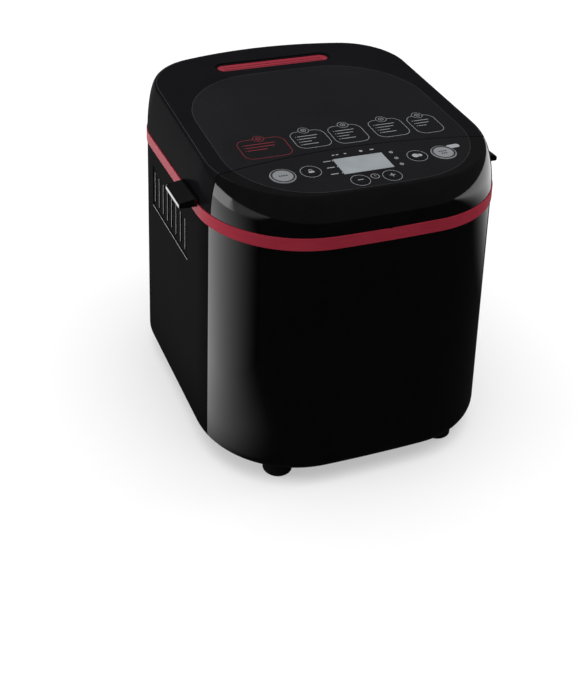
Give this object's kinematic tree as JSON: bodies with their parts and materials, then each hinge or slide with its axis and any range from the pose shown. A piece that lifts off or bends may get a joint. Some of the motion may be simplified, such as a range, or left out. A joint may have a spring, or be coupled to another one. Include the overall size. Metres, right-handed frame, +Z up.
{
  "type": "bread machine",
  "caption": "Tabletop bread machine with a hinged domed lid, sloping control panel, trim band, removable bread pan and belt-driven kneading paddle.",
  "frame": {"origin": "middle of the machine's box, on the surface the feet stand on", "axes": "+Z up; the front with the controls faces -Y and the lid hinges at +Y; +X is to the right for a person facing the front"},
  "size_m": [0.326, 0.3426, 0.3155],
  "materials": {
    "glossy_black": "gloss",
    "satin_black": "satin",
    "plate_black": "gloss",
    "red_metal": "brushed, clear-coated",
    "red_plastic": "satin",
    "silver_plastic": "satin",
    "lcd_grey": "gloss",
    "board_green": "satin",
    "steel": "satin",
    "aluminium": "satin",
    "non_stick": "satin",
    "inner_plastic": "matte",
    "rubber": "matte",
    "silicone": "matte",
    "bronze": "satin"
  },
  "bodies": {
    "base": {"base_tray": "inner_plastic", "foot_front_left": "rubber", "foot_front_right": "rubber", "foot_rear_left": "rubber", "foot_rear_right": "rubber", "base_screw_left": "steel", "base_screw_right": "steel", "front_wrap": "glossy_black", "rear_casing": "satin_black", "cord_gland": "rubber", "trim_band": "red_metal", "front_fascia": "glossy_black", "control_panel": "plate_black", "inner_deck": "inner_plastic", "hinge_bracket": "satin_black", "hinge_pin": "steel", "lcd_window": "lcd_grey", "lcd_module": "inner_plastic", "control_board": "board_green", "oven_chamber": "steel", "heating_element": "steel", "element_bracket_left": "steel", "element_bracket_right": "steel", "temperature_sensor": "steel", "pan_seat": "aluminium", "pan_clip_left": "steel", "pan_clip_right": "steel", "chassis_plate": "steel", "power_board": "board_green", "motor": "steel", "drive_belt": "rubber", "bearing_housing": "aluminium", "bearing_bush": "bronze"},
    "lid": {"lid_shell": "satin_black", "program_plate": "plate_black", "vent_insert": "red_plastic", "lid_liner": "aluminium", "lid_seal": "silicone", "grip_left": "glossy_black", "grip_right": "glossy_black", "lid_screw_left": "steel", "lid_screw_right": "steel"},
    "pan": {"bread_pan": "non_stick", "pan_foot_ring": "aluminium", "shaft_seal": "silicone"},
    "handle": {"pan_handle": "steel"},
    "paddle": {"pan_dog": "aluminium", "paddle_shaft": "steel", "kneading_paddle": "non_stick"},
    "drive": {"drive_pulley": "inner_plastic", "drive_shaft": "steel", "drive_dog": "aluminium"},
    "rotor": {"motor_shaft": "steel", "motor_pulley": "inner_plastic"},
    "key_menu": {"button_menu": "silver_plastic"},
    "key_weight": {"button_weight": "plate_black"},
    "key_minus": {"button_minus": "plate_black"},
    "key_plus": {"button_plus": "plate_black"},
    "key_crust": {"button_crust": "plate_black"},
    "key_start": {"button_start": "silver_plastic"}
  },
  "joints": [
    {"name": "lid_hinge", "type": "hinge", "parent": "base", "child": "lid", "pos_m": [0, 0.16625, 0.264], "axis": [-1, 0, 0], "range_deg": [0, 95]},
    {"name": "pan_lift", "type": "slide", "parent": "base", "child": "pan", "axis": [0, 0, 1], "range_m": [0, 0.01]},
    {"name": "handle_swing", "type": "hinge", "parent": "pan", "child": "handle", "pos_m": [0, 0.03625, 0.2169], "axis": [-1, 0, 0], "range_deg": [0, 35]},
    {"name": "drive_spin", "type": "hinge", "parent": "base", "child": "drive", "pos_m": [0, 0.03625, 0.03], "axis": [0, 0, 1], "continuous": true},
    {"name": "paddle_spin", "type": "hinge", "parent": "pan", "child": "paddle", "pos_m": [0, 0.03625, 0.085], "axis": [0, 0, 1], "continuous": true},
    {"name": "motor_spin", "type": "hinge", "parent": "base", "child": "rotor", "pos_m": [0, -0.10375, 0.03], "axis": [0, 0, 1], "continuous": true},
    {"name": "menu_press", "type": "slide", "parent": "base", "child": "key_menu", "axis": [0, 0.0797, -0.9968], "range_m": [0, 0.001], "stiffness_N_per_m": 1000},
    {"name": "weight_press", "type": "slide", "parent": "base", "child": "key_weight", "axis": [0, 0.0797, -0.9968], "range_m": [0, 0.001], "stiffness_N_per_m": 1000},
    {"name": "minus_press", "type": "slide", "parent": "base", "child": "key_minus", "axis": [0, 0.0797, -0.9968], "range_m": [0, 0.001], "stiffness_N_per_m": 1000},
    {"name": "plus_press", "type": "slide", "parent": "base", "child": "key_plus", "axis": [0, 0.0797, -0.9968], "range_m": [0, 0.001], "stiffness_N_per_m": 1000},
    {"name": "crust_press", "type": "slide", "parent": "base", "child": "key_crust", "axis": [0, 0.0797, -0.9968], "range_m": [0, 0.001], "stiffness_N_per_m": 1000},
    {"name": "start_press", "type": "slide", "parent": "base", "child": "key_start", "axis": [0, 0.0797, -0.9968], "range_m": [0, 0.001], "stiffness_N_per_m": 1000}
  ],
  "couplings": [
    {"joint": "paddle_spin", "follows": "drive_spin", "ratio": 1},
    {"joint": "motor_spin", "follows": "drive_spin", "ratio": 5}
  ]
}
